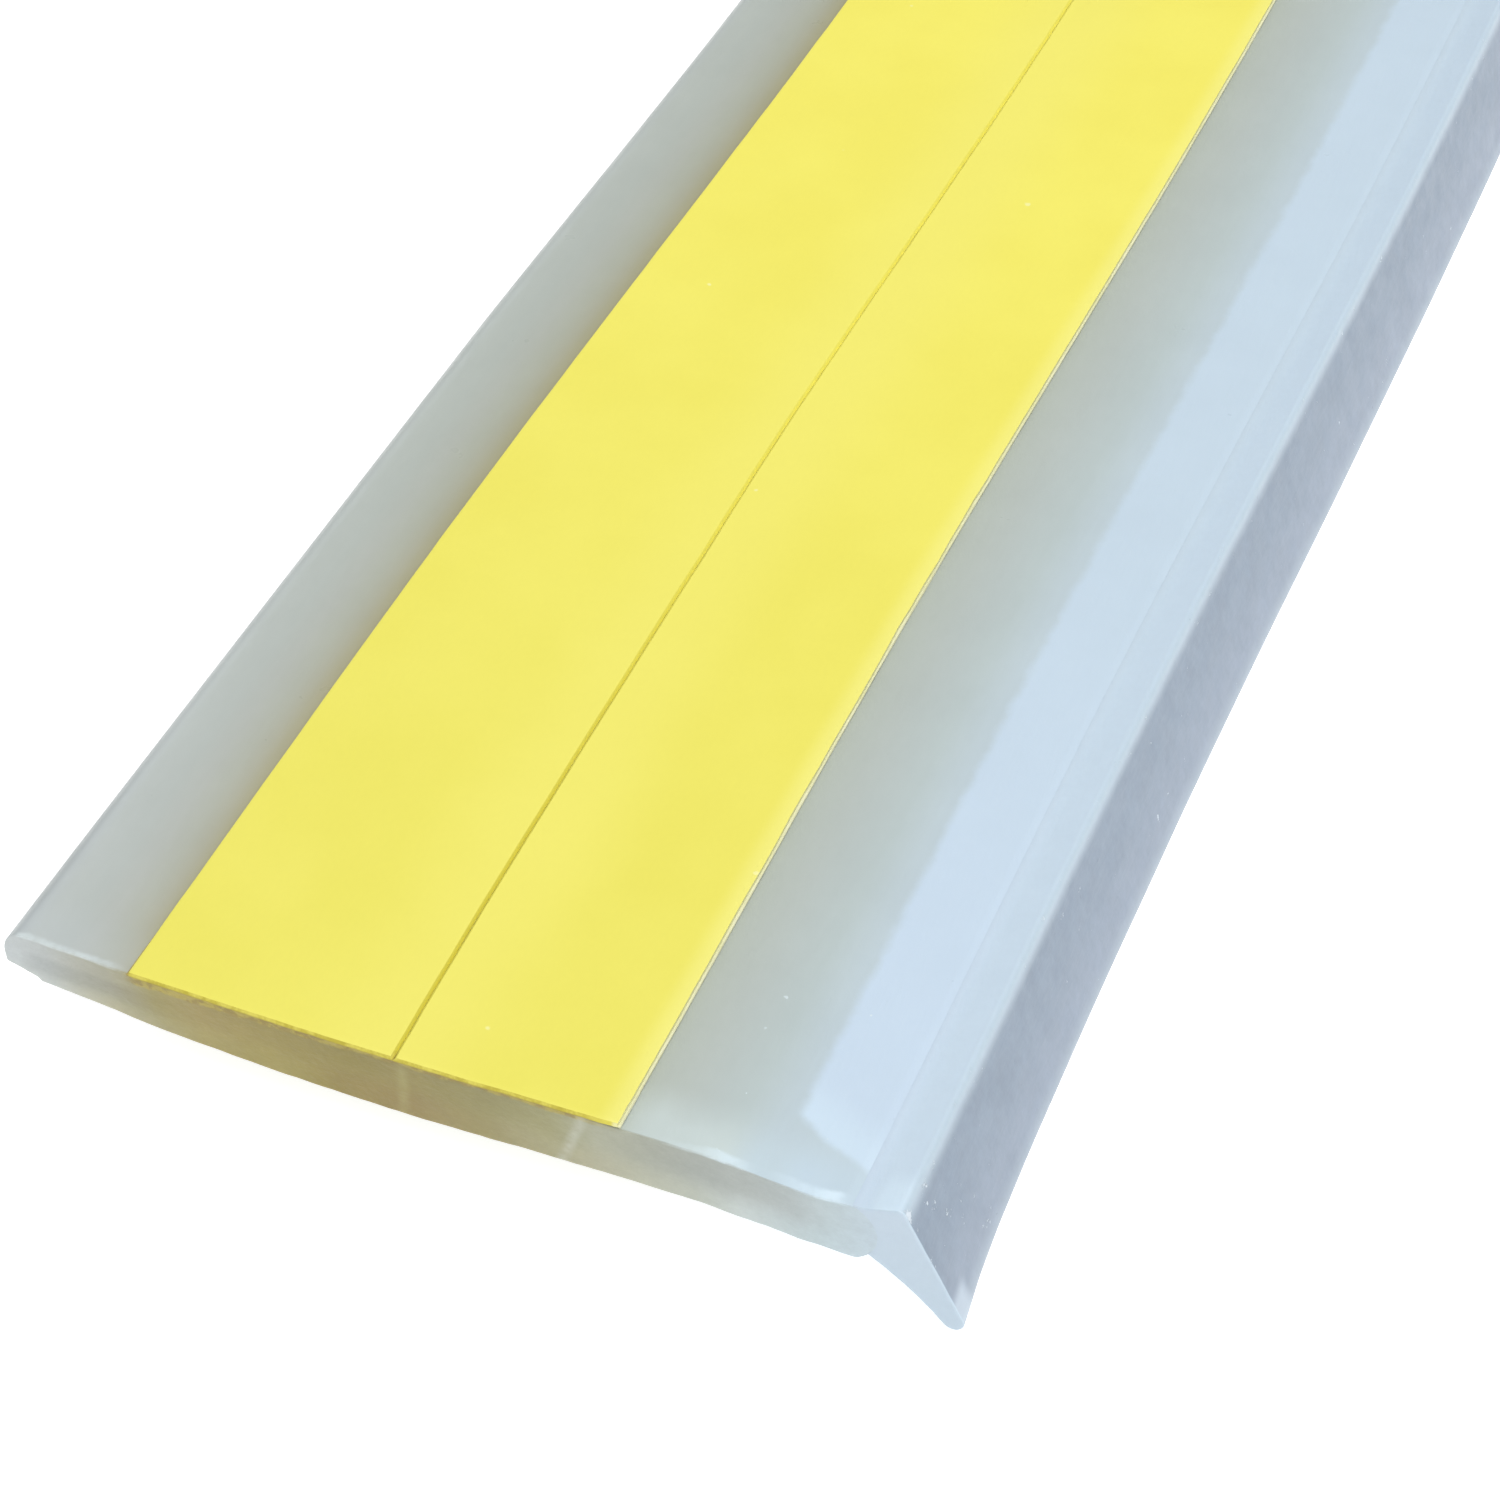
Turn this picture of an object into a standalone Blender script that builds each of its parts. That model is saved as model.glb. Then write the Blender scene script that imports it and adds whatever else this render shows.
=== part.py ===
"""Self-adhesive door sweep: a straight extruded strip, stuck along the bottom
edge of a door, whose soft lip wipes the floor.

Frame: +Y runs along the strip, +X from the plain edge towards the lip, +Z out
of the adhesive side (the side that goes against the door).
Origin: centre of the bounding box, on its lowest level.
Lengths below are in millimetres and are turned into metres by MM.
"""
import math

import bmesh
import bpy

MM = 0.001

# ---- whole strip -----------------------------------------------------------
LENGTH = 1000.0            # sold by the metre, trimmed to the door

# ---- carrier web (the firm part that carries the tape) ----------------------
NOSE_X = 1.5               # the plain edge is a blunt nose this deep
NOSE_DROP = 1.73           # its upper side rounds down to this depth
NOSE_T = 2.13              # the nose's lower corner
NOSE_CORNER = 0.18         # rounding of that corner
WEB_T_NOSE = 2.55          # thickness just behind the nose
WEB_T_MAX = 3.53           # thickest place, under the tape
WEB_T_LIP = 2.93           # thickness beside the tape, towards the lip
WEB_T_END = 3.12           # thickness where the lip starts
WEB_X_MAX = 14.5           # where the web is thickest
WEB_X_LIP = 31.0           # where it is WEB_T_LIP
WEB_X_END = 35.9           # where it is WEB_T_END
DIP_START = 30.2           # the face dips to a shallow crease beside the lip
CREASE_X = 32.8
CREASE_DROP = 0.15

# ---- flex line between web and lip -----------------------------------------
FLEX_X = 35.55             # the lip bends about this line
FLEX_Z = -1.59
WEB_END_R = 1.8            # the web's end is rounded about the flex line
FLEX_CLEAR = 0.05          # running clearance round that end
WEB_TOP_DEG = math.degrees(math.asin(-FLEX_Z / WEB_END_R))
LIP_TOP_DEG = 60.0         # the lip's root wraps the web's end between these
LIP_LOW_DEG = -35.0

# ---- lip --------------------------------------------------------------------
FOLD_X = 38.62             # upper fold, where the lip turns down
FOLD_Z = 0.60
FOLD_R = 0.45              # how far from the fold its rounding starts
TIP_X = 40.25              # centre of the rounded tip
TIP_Z = -5.20
TIP_R = 0.60

# ---- double-sided tape and its split liner ----------------------------------
TAPE_X0 = 6.05
TAPE_X1 = 27.15
ADHESIVE_T = 0.04
FILM_T = 0.025
LAYER_GAP = 0.02
LINER_T = 0.12
LINER_X0 = 6.10
LINER_X1 = 27.05
SLIT_X = 17.40             # the liner is slit along this line into two halves
SLIT_W = 0.10
LINER_PROUD_LEFT = 0.45    # the liner stands past the cut ends by this much
LINER_PROUD_RIGHT = 0.20


def smoothstep(t):
    t = min(max(t, 0.0), 1.0)
    return t * t * (3.0 - 2.0 * t)


def web_face(x):
    """Height of the web's adhesive-side face at x, right of the nose."""
    if x <= DIP_START:
        return 0.0
    if x <= CREASE_X:
        return -CREASE_DROP * smoothstep((x - DIP_START) / (CREASE_X - DIP_START)) ** 1.5
    end = FLEX_X + WEB_END_R * math.cos(math.radians(WEB_TOP_DEG))
    return -CREASE_DROP * (1.0 - (x - CREASE_X) / (end - CREASE_X))


def web_thickness(x):
    """Depth of the web's back under the level of its face."""
    if x <= WEB_X_MAX:
        t = max(0.0, (x - NOSE_X) / (WEB_X_MAX - NOSE_X))
        return WEB_T_NOSE + (WEB_T_MAX - WEB_T_NOSE) * math.sin(0.5 * math.pi * t)
    t = WEB_T_MAX + (WEB_T_LIP - WEB_T_MAX) * smoothstep((x - WEB_X_MAX) / (WEB_X_LIP - WEB_X_MAX))
    return t + (WEB_T_END - WEB_T_LIP) * smoothstep((x - WEB_X_LIP) / (WEB_X_END - WEB_X_LIP))


def arc(cx, cz, rx, rz, a0, a1, n):
    return [
        (cx + rx * math.cos(math.radians(a0 + (a1 - a0) * i / n)),
         cz + rz * math.sin(math.radians(a0 + (a1 - a0) * i / n)))
        for i in range(n + 1)
    ]


def bezier(p0, p1, p2, n):
    out = []
    for i in range(n + 1):
        t = i / n
        out.append(tuple((1 - t) ** 2 * a + 2 * t * (1 - t) * b + t * t * c for a, b, c in zip(p0, p1, p2)))
    return out


def tidy(points, least=0.004):
    """Drop points that all but repeat their neighbour."""
    out = []
    for p in points:
        if not out or math.dist(p, out[-1]) > least:
            out.append(p)
    if math.dist(out[0], out[-1]) <= least:
        out.pop()
    return out


def web_profile():
    """Counter-clockwise outline of the web, seen with X to the right and Z up."""
    back = []
    xs = [NOSE_X + (WEB_X_END - NOSE_X) * i / 28 for i in range(29)]
    back += [(x, -web_thickness(x)) for x in xs]
    # the web's end is round about the flex line; it meets the back in a corner
    low = math.degrees(math.asin(-(WEB_T_END + FLEX_Z) / WEB_END_R))
    end = arc(FLEX_X, FLEX_Z, WEB_END_R, WEB_END_R, low, WEB_TOP_DEG, 20)
    face_xs = [end[-1][0] + (CREASE_X - end[-1][0]) * i / 4 for i in range(1, 5)]
    face_xs += [CREASE_X + (DIP_START - CREASE_X) * i / 8 for i in range(1, 9)]
    face = [(x, web_face(x)) for x in face_xs]
    nose = arc(NOSE_X, -NOSE_DROP, NOSE_X, NOSE_DROP, 90, 180, 12)
    c = NOSE_CORNER
    slope = (WEB_T_NOSE - NOSE_T) / NOSE_X
    nose += bezier((0.0, -NOSE_T + c), (0.0, -NOSE_T), (c, -NOSE_T - slope * c), 5)
    return tidy(back + end + face + nose)


def lip_profile():
    """Counter-clockwise outline of the lip, from the top of its root."""
    r = WEB_END_R + FLEX_CLEAR
    root = arc(FLEX_X, FLEX_Z, r, r, LIP_TOP_DEG, LIP_LOW_DEG, 20)
    fold = (FOLD_X, FOLD_Z)
    # tangents from the fold and from the root's lower corner to the round tip
    out_dir = math.atan2(TIP_Z - fold[1], TIP_X - fold[0])
    out_off = math.asin(TIP_R / math.hypot(TIP_X - fold[0], TIP_Z - fold[1]))
    outer_deg = math.degrees(out_dir + out_off) + 90.0
    low = root[-1]
    in_dir = math.atan2(TIP_Z - low[1], TIP_X - low[0])
    in_off = math.asin(TIP_R / math.hypot(TIP_X - low[0], TIP_Z - low[1]))
    inner_deg = math.degrees(in_dir - in_off) - 90.0
    tip = arc(TIP_X, TIP_Z, TIP_R, TIP_R, inner_deg, outer_deg, 14)
    # the fold is rounded off between a point on the top and one on the outer face
    top = root[0]

    def towards(p, q, d):
        s = d / math.dist(p, q)
        return (p[0] + (q[0] - p[0]) * s, p[1] + (q[1] - p[1]) * s)

    bend = bezier(towards(fold, tip[-1], FOLD_R), fold, towards(fold, top, FOLD_R), 8)
    return tidy(root + tip + bend)


def slab(x0, x1, z0, t):
    return [(x0, z0), (x1, z0), (x1, z0 + t), (x0, z0 + t)]


def material(name, color, roughness, metallic=0.0):
    m = bpy.data.materials.new(name)
    m.use_nodes = True
    b = m.node_tree.nodes["Principled BSDF"]
    b.inputs["Base Color"].default_value = (*color, 1.0)
    b.inputs["Roughness"].default_value = roughness
    b.inputs["Metallic"].default_value = metallic
    m.diffuse_color = (*color, 1.0)
    return m


def extrude(name, profile, mat, pivot, parent, proud=0.0):
    """Extrude a cross-section along the whole strip; pivot is the object's origin."""
    px, pz = pivot
    bm = bmesh.new()
    half = LENGTH / 2 + proud
    near = [bm.verts.new(((x - px) * MM, -half * MM, (z - pz) * MM)) for x, z in profile]
    face = bm.faces.new(near)
    made = bmesh.ops.extrude_face_region(bm, geom=[face])
    far = [v for v in made["geom"] if isinstance(v, bmesh.types.BMVert)]
    bmesh.ops.translate(bm, verts=far, vec=(0.0, 2 * half * MM, 0.0))
    bmesh.ops.recalc_face_normals(bm, faces=bm.faces[:])
    me = bpy.data.meshes.new(name)
    bm.to_mesh(me)
    bm.free()
    me.materials.append(mat)
    ob = bpy.data.objects.new(name, me)
    bpy.context.scene.collection.objects.link(ob)
    ob.parent = parent
    ob.location = (px * MM, 0.0, pz * MM)
    if len(profile) > 4:
        me.shade_smooth()
        me.set_sharp_from_angle(angle=math.radians(25))
    return ob


def build():
    for ob in list(bpy.data.objects):
        bpy.data.objects.remove(ob, do_unlink=True)

    web = web_profile()
    lip = lip_profile()
    xs = [p[0] for p in web + lip]
    zs = [p[1] for p in web + lip]
    # the profiles are drawn from the nose's tip and the web's face; this empty
    # carries them to the strip's own origin
    root = bpy.data.objects.new("strip_datum", None)
    bpy.context.scene.collection.objects.link(root)
    root.location = (-(min(xs) + max(xs)) / 2 * MM, 0.0, -min(zs) * MM)

    milky = material("web_translucent", (0.52, 0.57, 0.55), 0.35)
    soft = material("lip_translucent", (0.40, 0.47, 0.56), 0.5)
    glue = material("adhesive_clear", (0.72, 0.70, 0.55), 0.25)
    film = material("film_clear", (0.80, 0.80, 0.76), 0.2)
    paper = material("liner_yellow", (0.89, 0.83, 0.15), 0.6)

    extrude("carrier_web", web, milky, (0.0, 0.0), root)
    extrude("sweep_lip", lip, soft, (FLEX_X, FLEX_Z), root)

    z = LAYER_GAP
    extrude("web_side_adhesive", slab(TAPE_X0, TAPE_X1, z, ADHESIVE_T), glue, (TAPE_X0, z), root)
    z += ADHESIVE_T + LAYER_GAP
    extrude("tape_carrier_film", slab(TAPE_X0, TAPE_X1, z, FILM_T), film, (TAPE_X0, z), root)
    z += FILM_T + LAYER_GAP
    extrude("door_side_adhesive", slab(TAPE_X0, TAPE_X1, z, ADHESIVE_T), glue, (TAPE_X0, z), root)
    z += ADHESIVE_T + LAYER_GAP
    extrude("release_liner_left", slab(LINER_X0, SLIT_X - SLIT_W / 2, z, LINER_T), paper, (LINER_X0, z), root,
            proud=LINER_PROUD_LEFT)
    extrude("release_liner_right", slab(SLIT_X + SLIT_W / 2, LINER_X1, z, LINER_T), paper, (LINER_X1, z), root,
            proud=LINER_PROUD_RIGHT)


build()
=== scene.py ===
"""Looks of the self-adhesive door sweep: a milky translucent strip with a soft
lip on one edge and a split yellow release liner over its tape.

Lengths inside the functions are millimetres in the strip's own section frame:
x from the plain edge's nose towards the lip, z up from the web's face, and y
along the strip from its near cut end. place() turns them into the CAD frame.
"""
import math

import bpy
import numpy as np
from mathutils import Matrix, Vector, noise


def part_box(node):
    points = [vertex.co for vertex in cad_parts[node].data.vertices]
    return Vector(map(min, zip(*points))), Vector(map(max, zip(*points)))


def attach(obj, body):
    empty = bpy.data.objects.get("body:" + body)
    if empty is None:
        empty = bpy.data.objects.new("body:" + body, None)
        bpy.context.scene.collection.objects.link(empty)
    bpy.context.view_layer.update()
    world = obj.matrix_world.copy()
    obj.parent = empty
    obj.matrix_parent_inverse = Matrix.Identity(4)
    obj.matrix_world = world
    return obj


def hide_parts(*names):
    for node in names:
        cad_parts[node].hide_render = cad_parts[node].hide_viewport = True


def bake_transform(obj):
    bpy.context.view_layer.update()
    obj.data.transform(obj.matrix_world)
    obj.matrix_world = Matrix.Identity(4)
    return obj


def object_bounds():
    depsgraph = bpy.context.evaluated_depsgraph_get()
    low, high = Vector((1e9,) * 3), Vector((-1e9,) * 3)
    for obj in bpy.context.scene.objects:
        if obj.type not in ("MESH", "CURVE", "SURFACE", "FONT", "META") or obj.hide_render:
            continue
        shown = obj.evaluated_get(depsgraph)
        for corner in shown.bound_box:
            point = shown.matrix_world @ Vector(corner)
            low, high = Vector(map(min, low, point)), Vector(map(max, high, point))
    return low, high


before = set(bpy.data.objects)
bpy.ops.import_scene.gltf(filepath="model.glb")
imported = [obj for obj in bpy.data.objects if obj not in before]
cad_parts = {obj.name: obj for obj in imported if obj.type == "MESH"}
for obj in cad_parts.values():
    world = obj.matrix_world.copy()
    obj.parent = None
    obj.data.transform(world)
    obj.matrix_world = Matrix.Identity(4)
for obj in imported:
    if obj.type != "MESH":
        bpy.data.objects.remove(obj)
cad_lo, cad_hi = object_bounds()

MM = 0.001
web_lo, web_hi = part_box("carrier_web")
X0 = web_lo.x / MM                      # where the section frame's x = 0 is
Z0 = web_hi.z / MM                      # where its z = 0 is
Y0 = web_lo.y / MM                      # where the near cut is
LENGTH = (web_hi.y - web_lo.y) / MM

# ---- section sizes, close to the CAD's; the nose, fold and tip are refined ------------------------------------
NOSE_X, NOSE_DROP, NOSE_T, NOSE_CORNER = 1.5, 1.66, 1.98, 0.07
T_NOSE, T_MAX, T_LIP, T_END = 2.55, 3.53, 2.93, 3.12
X_MAX, X_LIP, X_END = 14.5, 31.0, 35.9
DIP_START, CREASE_X, CREASE_DROP = 30.2, 32.8, 0.15
FLEX_X, FLEX_Z, END_R = 35.55, -1.59, 1.8
LIP_TOP_DEG, LIP_LOW_DEG = 60.0, -35.0
FOLD_X, FOLD_Z, FOLD_R = 38.62, 0.60, 0.45
TIP_X, TIP_Z, TIP_R = 40.36, -5.33, 0.47
TAPE_X0, TAPE_X1 = 6.05, 27.15
LINER_X0, LINER_X1, SLIT_X = 6.10, 27.05, 17.40


def place(p):
    """Section-frame millimetres to CAD-frame metres."""
    return (np.asarray(p, float) + np.array([X0, Y0, Z0])) * MM


def smooth(a, b, x):
    t = np.clip((np.asarray(x, float) - a) / (b - a), 0.0, 1.0)
    return t * t * (3.0 - 2.0 * t)


def wobble(x, y, seed):
    """Smooth value noise, -1 to 1, one value for each point."""
    x, y = np.broadcast_arrays(np.asarray(x, float), np.asarray(y, float))
    flat = [noise.noise(Vector((a, b, seed * 7.31))) for a, b in zip(x.ravel(), y.ravel())]
    return np.array(flat).reshape(x.shape)


# ---- meshes -------------------------------------------------------------------
def block(name, grid, mats, pick=None, rest=None, sharp=32.0):
    """Closed skin of a structured block of points grid[i, k, j] = (x, y, z):
    i runs across the section, k through it and j along the strip."""
    ni, nk, nj, _ = grid.shape
    on = np.zeros((ni, nk, nj), bool)
    on[[0, -1]] = True
    on[:, [0, -1]] = True
    on[:, :, [0, -1]] = True
    index = np.full((ni, nk, nj), -1, int)
    index[on] = np.arange(on.sum())

    def quads(sheet, flip):
        a, b, c, d = sheet[:-1, :-1], sheet[1:, :-1], sheet[1:, 1:], sheet[:-1, 1:]
        q = np.stack([a, b, c, d], -1).reshape(-1, 4)
        return q[:, ::-1] if flip else q

    faces = [
        (quads(index[0], False), 0), (quads(index[-1], True), 1),
        (quads(index[:, 0], True), 2), (quads(index[:, -1], False), 3),
        (quads(index[:, :, 0], False), 4), (quads(index[:, :, -1], True), 5),
    ]
    me = bpy.data.meshes.new(name)
    verts = place(grid[on])
    polys = np.concatenate([f for f, _ in faces])
    side = np.concatenate([np.full(len(f), s) for f, s in faces])
    me.from_pydata(verts.tolist(), [], polys.tolist())
    me.update()
    at = me.attributes.new("rest", "FLOAT_VECTOR", "POINT")
    at.data.foreach_set("vector", (grid if rest is None else rest)[on].astype(np.float32).ravel())
    for m in mats:
        me.materials.append(m)
    if pick is not None:
        me.polygons.foreach_set("material_index", [pick[s] for s in side])
    me.shade_smooth()
    me.set_sharp_from_angle(angle=math.radians(sharp))
    ob = bpy.data.objects.new(name, me)
    bpy.context.scene.collection.objects.link(ob)
    return ob


def stations(r, first=94.0):
    """Distances along the strip and how far the section is drawn in there: the
    cut edges are rounded by r, and the rows are close together near the cuts."""
    near = [(0.0, r), (r * (1 - math.sin(math.radians(60))), r * (1 - math.cos(math.radians(60)))),
            (r * 0.5, r * (1 - math.cos(math.radians(30)))), (r, 0.0), (r + 0.06, 0.0)]
    y, step = near[-1][0], 0.12
    while y < first:
        y += step
        step = min(step * 1.14, 1.5)
        near.append((y, 0.0))
    mid = []
    n = 52
    a, b = near[-1][0], LENGTH - 26.0
    for i in range(1, n):
        mid.append((a + (b - a) * i / n, 0.0))
    far = [(LENGTH - y, s) for y, s in near if y <= 26.0][::-1]
    rows = near + mid + far
    return np.array([p[0] for p in rows]), np.array([p[1] for p in rows])


# how far the saw strayed along the near cut, as (x, y) of the web's upper edge
CUT = np.array([
    (0.0, -0.03), (1.3, -0.02), (3.0, -0.05), (4.8, -0.11), (7.0, -0.17), (11.0, -0.10), (16.0, -0.02),
    (22.0, 0.03), (27.0, 0.05), (30.3, 0.12), (32.8, 0.05), (34.2, -0.09), (36.4, -0.05), (41.5, 0.05)])


def cut_line(x, z, far):
    """Where the cut face lies at (x, z), measured inwards from the nominal end."""
    x, z = np.asarray(x, float), np.asarray(z, float)
    if far:
        wave = 0.09 * np.sin(x * 0.21 + 0.7) + 0.05 * np.sin(x * 0.63)
    else:
        wave = np.interp(x, CUT[:, 0], CUT[:, 1])
    wave = wave + 0.035 * wobble(x * 0.9, z * 0.55, 5 if far else 3)
    wave = wave + 0.014 * wobble(x * 3.1, z * 2.2, 8 if far else 6)
    return wave - 0.02 * z


def bow(x, y):
    """The strip isn't dead straight: its sideways wander at distance y. The
    plain edge only ever wanders inwards."""
    near = np.interp(y, [0, 6, 12, 20, 28, 36, 43, 50, 58, 66, 76, 90, 130, 190],
                     [0.03, 0.0, -0.06, -0.13, -0.15, -0.10, 0.0, 0.11, 0.25, 0.36, 0.42, 0.42, 0.20, 0.0])
    later = 0.10 * np.sin((np.asarray(y, float) - 190.0) / 75.0)
    b = near + later * smooth(185.0, 240.0, y) * (1 - smooth(LENGTH - 60, LENGTH, y))
    edge = smooth(0.0, 3.0, x)
    return np.where(b < 0, b * edge, b)


def along(x, z, y):
    """Lay a row at distance y along the strip on the strayed cuts."""
    near = cut_line(x, z, False) * (1.0 - smooth(0.0, 6.0, y))
    far = cut_line(x, z, True) * (1.0 - smooth(0.0, 6.0, LENGTH - y))
    return y + near - far


def web_top(x):
    x = np.asarray(x, float)
    end = FLEX_X + math.sqrt(END_R ** 2 - FLEX_Z ** 2)
    z = np.zeros_like(x)
    s = smooth(DIP_START, CREASE_X, x)
    z = np.where(x > DIP_START, -CREASE_DROP * s ** 1.5, z)
    z = np.where(x > CREASE_X, -CREASE_DROP * (1 - (x - CREASE_X) / (end - CREASE_X)), z)
    z = np.where(x > end, FLEX_Z + np.sqrt(np.maximum(END_R ** 2 - (x - FLEX_X) ** 2, 0.0)), z)
    t = np.clip((NOSE_X - x) / NOSE_X, 0.0, 1.0)
    return np.where(x < NOSE_X, -NOSE_DROP + NOSE_DROP * np.maximum(1 - t ** 2.3, 0.0) ** (1 / 2.3), z)


# how much fuller than drawn the strip's back is
BACK = np.array([(0.0, 0.14), (1.2, 0.17), (2.5, 0.08), (3.8, -0.02), (5.0, -0.07), (9.0, -0.09), (12.0, -0.06), (14.5, 0.0), (18.0, 0.10),
                 (24.0, 0.12), (27.0, 0.14), (29.5, 0.22), (31.0, 0.27), (32.5, 0.24), (34.0, 0.09), (35.6, 0.0), (40.0, 0.0)])


def web_bottom(x):
    x = np.asarray(x, float)
    t = np.clip((x - NOSE_X) / (X_MAX - NOSE_X), 0.0, 1.0)
    a = T_NOSE + (T_MAX - T_NOSE) * np.sin(0.5 * np.pi * t)
    b = T_MAX + (T_LIP - T_MAX) * smooth(X_MAX, X_LIP, x) + (T_END - T_LIP) * smooth(X_LIP, X_END, x)
    z = -np.where(x <= X_MAX, a, b) - np.interp(x, BACK[:, 0], BACK[:, 1])
    # the blunt nose
    z = np.where(x < NOSE_X, -(NOSE_T + (T_NOSE - NOSE_T) * x / NOSE_X), z)
    c = NOSE_CORNER
    u = np.sqrt(np.clip(x / c, 0.0, 1.0))
    corner = (1 - u) ** 2 * (-NOSE_T + c) + 2 * u * (1 - u) * -NOSE_T + u * u * (-NOSE_T - (T_NOSE - NOSE_T) / NOSE_X * c)
    z = np.where(x < c, corner, z)
    corner_x = FLEX_X + math.sqrt(END_R ** 2 - (T_END + FLEX_Z) ** 2)
    low = FLEX_Z - np.sqrt(np.maximum(END_R ** 2 - (x - FLEX_X) ** 2, 0.0))
    return np.where(x > corner_x, low, z)


def build_web(mat):
    xs = [NOSE_X * (1 - math.cos(math.radians(a))) for a in np.linspace(0, 90, 15)]
    xs += list(np.arange(1.75, DIP_START, 0.4))
    xs += list(np.arange(DIP_START, 33.4, 0.2)) + list(np.arange(33.5, 36.2, 0.35))
    top = math.degrees(math.asin(-FLEX_Z / END_R))
    xs += [FLEX_X + END_R * math.cos(math.radians(a)) for a in np.linspace(top + 1.2, 2.5, 12)]
    xs = np.array(sorted(set(round(v, 5) for v in xs)))
    ys, inset = stations(0.055)
    ts = np.array([0.0, 0.03, 0.09, 0.18, 0.3, 0.42, 0.54, 0.66, 0.76, 0.85, 0.92, 0.97, 1.0])
    X, T, Y = np.meshgrid(xs, ts, ys, indexing="ij")
    S = np.broadcast_to(inset, X.shape) * (1 - smooth(35.2, 36.2, X))
    Xi = X + S * (1 - smooth(0.0, 1.2, X))
    lo, hi = web_bottom(X), web_top(X)
    # the extruded face isn't dead flat: faint waves along and across
    flat = smooth(0.0, 2.0, X) * (1 - smooth(35.0, 36.3, X))
    wave = 0.020 * wobble(xs[:, None] * 0.16, ys[None, :] * 0.055, 1)[:, None, :] \
        + 0.008 * wobble(xs[:, None] * 0.7, ys[None, :] * 0.11, 2)[:, None, :]
    hi = hi + flat * (wave - 0.022)
    lo = lo + flat * 0.02 * (1 + wobble(xs[:, None] * 0.2, ys[None, :] * 0.05, 4)[:, None, :])
    # the saw pressed the last few millimetres of the face down a little
    hi = hi - 0.05 * flat * (1 - smooth(0.0, 2.6 + 0.05 * X, Y)) ** 2
    squeeze = np.minimum(S, (hi - lo) * 0.35)
    Z = (lo + squeeze) * (1 - T) + (hi - squeeze) * T
    rest = np.stack([X, Y, Z], -1)
    grid = np.stack([Xi + bow(X, Y), along(X, Z, Y), Z], -1)
    ob = block("web_body", grid, [mat], rest=rest)
    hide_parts("carrier_web")
    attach(ob, "strip")
    return ob


def resample(points, ts):
    p = np.asarray(points, float)
    d = np.concatenate([[0], np.cumsum(np.linalg.norm(np.diff(p, axis=0), axis=1))])
    d /= d[-1]
    return np.stack([np.interp(ts, d, p[:, 0]), np.interp(ts, d, p[:, 1])], -1)


LIP_FOLD_X, LIP_FOLD_Z, LIP_FOLD_R = 38.32, 0.55, 0.30


def lip_edges(inset):
    """The lip's section as four edges: root, inner face, tip and outer face."""
    def ring(cx, cz, r, a0, a1, n):
        a = np.radians(np.linspace(a0, a1, n))
        return np.stack([cx + r * np.cos(a), cz + r * np.sin(a)], -1)

    # the root beds a hair into the web's round end, so no seam opens
    root = ring(FLEX_X, FLEX_Z, END_R - 0.008, LIP_LOW_DEG - 2.0, 62.4, 40)
    low, top = root[0], root[-1]
    tr = TIP_R - inset
    fold = np.array([LIP_FOLD_X, LIP_FOLD_Z])
    d_in = math.atan2(TIP_Z - low[1], TIP_X - low[0])
    inner_deg = math.degrees(d_in - math.asin(TIP_R / math.dist(low, (TIP_X, TIP_Z)))) - 90
    d_out = math.atan2(TIP_Z - fold[1], TIP_X - fold[0])
    outer_deg = math.degrees(d_out + math.asin(TIP_R / math.dist(fold, (TIP_X, TIP_Z)))) + 90
    tip = ring(TIP_X, TIP_Z, tr, inner_deg, outer_deg, 40)
    # inner face, very slightly hollow
    t = np.linspace(0, 1, 40)[:, None]
    inner = low * (1 - t) + tip[0] * t
    n_in = np.array([math.cos(math.radians(inner_deg)), math.sin(math.radians(inner_deg))])
    inner = inner - n_in * 0.16 * np.sin(np.pi * t)
    # outer: top facet, rounded fold, outer face
    n_out = np.array([math.cos(math.radians(outer_deg)), math.sin(math.radians(outer_deg))])
    face_end = np.array([TIP_X, TIP_Z]) + TIP_R * n_out
    knee = top + np.array([0.40, 0.0])
    n_top = np.array([-(fold - knee)[1], (fold - knee)[0]])
    n_top /= np.linalg.norm(n_top)
    a = fold + (knee - fold) / np.linalg.norm(knee - fold) * LIP_FOLD_R
    e = knee + (fold - knee) / np.linalg.norm(fold - knee) * 0.42
    b = fold + (face_end - fold) / np.linalg.norm(face_end - fold) * LIP_FOLD_R
    w = np.linspace(0, 1, 12)[:, None]
    curve = (1 - w) ** 2 * top + 2 * w * (1 - w) * knee + w * w * e
    rise = np.linspace(0, 1, 10)[1:-1, None]
    first = np.concatenate([curve, e * (1 - rise) + a * rise])
    first = first - n_top * inset * smooth(0.0, 0.8, first[:, :1] - top[0])
    u = np.linspace(0, 1, 16)[:, None]
    bend = (1 - u) ** 2 * a + 2 * u * (1 - u) * fold + u * u * b
    n_bend = (1 - u) * n_top + u * n_out
    n_bend /= np.linalg.norm(n_bend, axis=1)[:, None]
    bend = bend - n_bend * inset
    v = np.linspace(0, 1, 30)[1:, None]
    face = (b - n_out * inset) * (1 - v) + tip[-1] * v
    outer = np.concatenate([first, bend, face])
    return root, inner, tip, outer


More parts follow.
